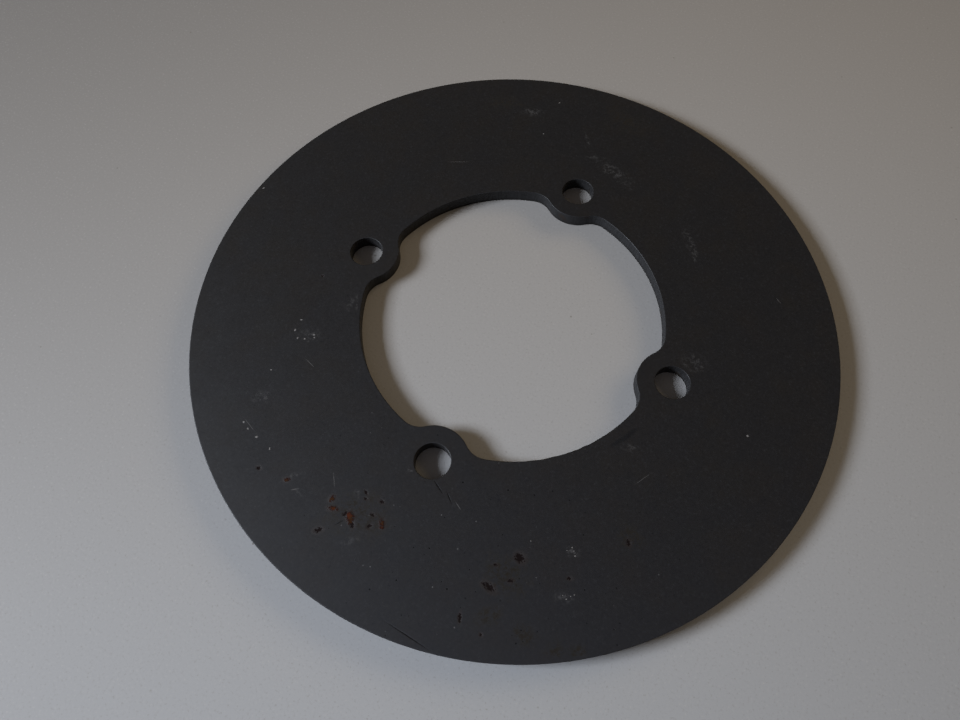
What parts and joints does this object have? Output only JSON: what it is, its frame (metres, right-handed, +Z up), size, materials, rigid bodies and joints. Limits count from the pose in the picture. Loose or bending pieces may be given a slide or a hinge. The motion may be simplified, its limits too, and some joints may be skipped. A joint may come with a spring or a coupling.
{
  "type": "flange ring plate",
  "caption": "Flat round steel plate with a large open centre and plain bolt holes in rounded lobes that reach into the opening.",
  "frame": {"origin": "centre of the underside, the flat face that the plate rests on", "axes": "+Z up, along the plate's axis; the first bolt hole lies on +X"},
  "size_m": [0.21, 0.21, 0.005],
  "materials": {
    "mill_scale_steel": "matte"
  },
  "bodies": {
    "root": {"ring_plate": "mill_scale_steel"}
  },
  "joints": []
}
